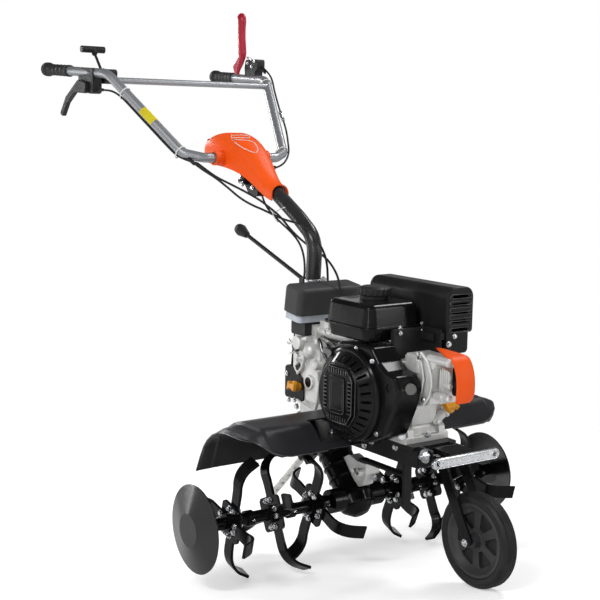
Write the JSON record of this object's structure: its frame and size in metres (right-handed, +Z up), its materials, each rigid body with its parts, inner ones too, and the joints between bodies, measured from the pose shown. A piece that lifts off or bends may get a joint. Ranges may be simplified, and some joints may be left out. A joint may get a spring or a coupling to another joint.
{
  "type": "rotary tiller",
  "caption": "Walk-behind petrol rotary tiller with curved bolted tines, side discs, a folding front wheel and tall handlebars.",
  "frame": {"origin": "centre of the bounding box's bottom face, on the floor", "axes": "+X forward, towards the front wheel; +Y to the machine's left; +Z up"},
  "size_m": [1.5901, 0.954, 1.5543],
  "materials": {
    "black_gloss": "gloss black enamel",
    "black_satin": "satin black enamel",
    "black_plastic": "satin black moulding",
    "gloss_plastic": "gloss black moulding",
    "orange_plastic": "gloss orange moulding",
    "red_plastic": "crimson moulding",
    "yellow_plastic": "yellow moulding",
    "grey_plastic": "light grey moulding",
    "cast_aluminium": "cast, as blasted",
    "silver_paint": "silver paint",
    "zinc_steel": "zinc plated",
    "galvanised": "galvanised",
    "tyre_rubber": "solid rubber",
    "grip_rubber": "moulded rubber",
    "rim_plastic": "dark grey moulding",
    "cable_rubber": "black sheathed cable"
  },
  "bodies": {
    "chassis": {"gear_case": "black_gloss", "case_saddle": "cast_aluminium", "gearbox_upper": "cast_aluminium", "bearing_caps": "black_plastic", "column_bracket": "black_satin", "column": "black_satin", "engine_frame": "black_satin", "drag_stake": "galvanised", "stake_holder": "black_satin", "fenders": "gloss_plastic", "crankcase": "cast_aluminium", "cylinder_head": "cast_aluminium", "rocker_cover": "black_plastic", "head_cover": "orange_plastic", "fan_cover": "gloss_plastic", "recoil_starter": "gloss_plastic", "fuel_tank": "black_gloss", "fuel_cap": "gloss_plastic", "air_filter_cover": "black_plastic", "air_filter_band": "grey_plastic", "air_filter_base": "black_plastic", "carburettor": "cast_aluminium", "muffler": "black_satin", "control_box": "black_plastic", "drive_cover": "black_plastic", "filler_plugs": "yellow_plastic", "cowl": "orange_plastic", "clamp_bracket": "black_satin", "gear_lever": "black_plastic", "cables_lower": "cable_rubber"},
    "handlebar_set": {"handlebar": "silver_paint", "crossbar": "silver_paint", "grips": "grip_rubber", "stop_lever": "red_plastic", "clutch_lever": "black_plastic", "lever_brackets": "black_plastic", "shift_control": "black_plastic", "cables_upper": "cable_rubber"},
    "wheel_arm": {"wheel_fork": "black_gloss", "front_bar": "zinc_steel", "arm_pins": "zinc_steel"},
    "wheel": {"tyre": "tyre_rubber", "rim": "rim_plastic"},
    "rotor": {"rotor_shaft": "black_gloss", "tines_right_outer": "black_gloss", "tines_right_mid": "black_gloss", "tines_right_inner": "black_gloss", "tines_left_inner": "black_gloss", "tines_left_mid": "black_gloss", "tines_left_outer": "black_gloss", "discs": "black_gloss"}
  },
  "joints": [
    {"name": "handlebar_tilt", "type": "hinge", "parent": "chassis", "child": "handlebar_set", "pos_m": [-0.19271, 0, 1.05704], "axis": [0, 1, 0], "range_deg": [-20, 12]},
    {"name": "wheel_arm_fold", "type": "hinge", "parent": "chassis", "child": "wheel_arm", "pos_m": [0.59014, 0, 0.2939], "axis": [0, -1, 0], "range_deg": [0, 75]},
    {"name": "wheel_spin", "type": "hinge", "parent": "wheel_arm", "child": "wheel", "pos_m": [0.68706, 0, 0.10799], "axis": [0, 1, 0], "continuous": true},
    {"name": "rotor_spin", "type": "hinge", "parent": "chassis", "child": "rotor", "pos_m": [0.2365, 0, 0.15], "axis": [0, 1, 0], "continuous": true}
  ]
}
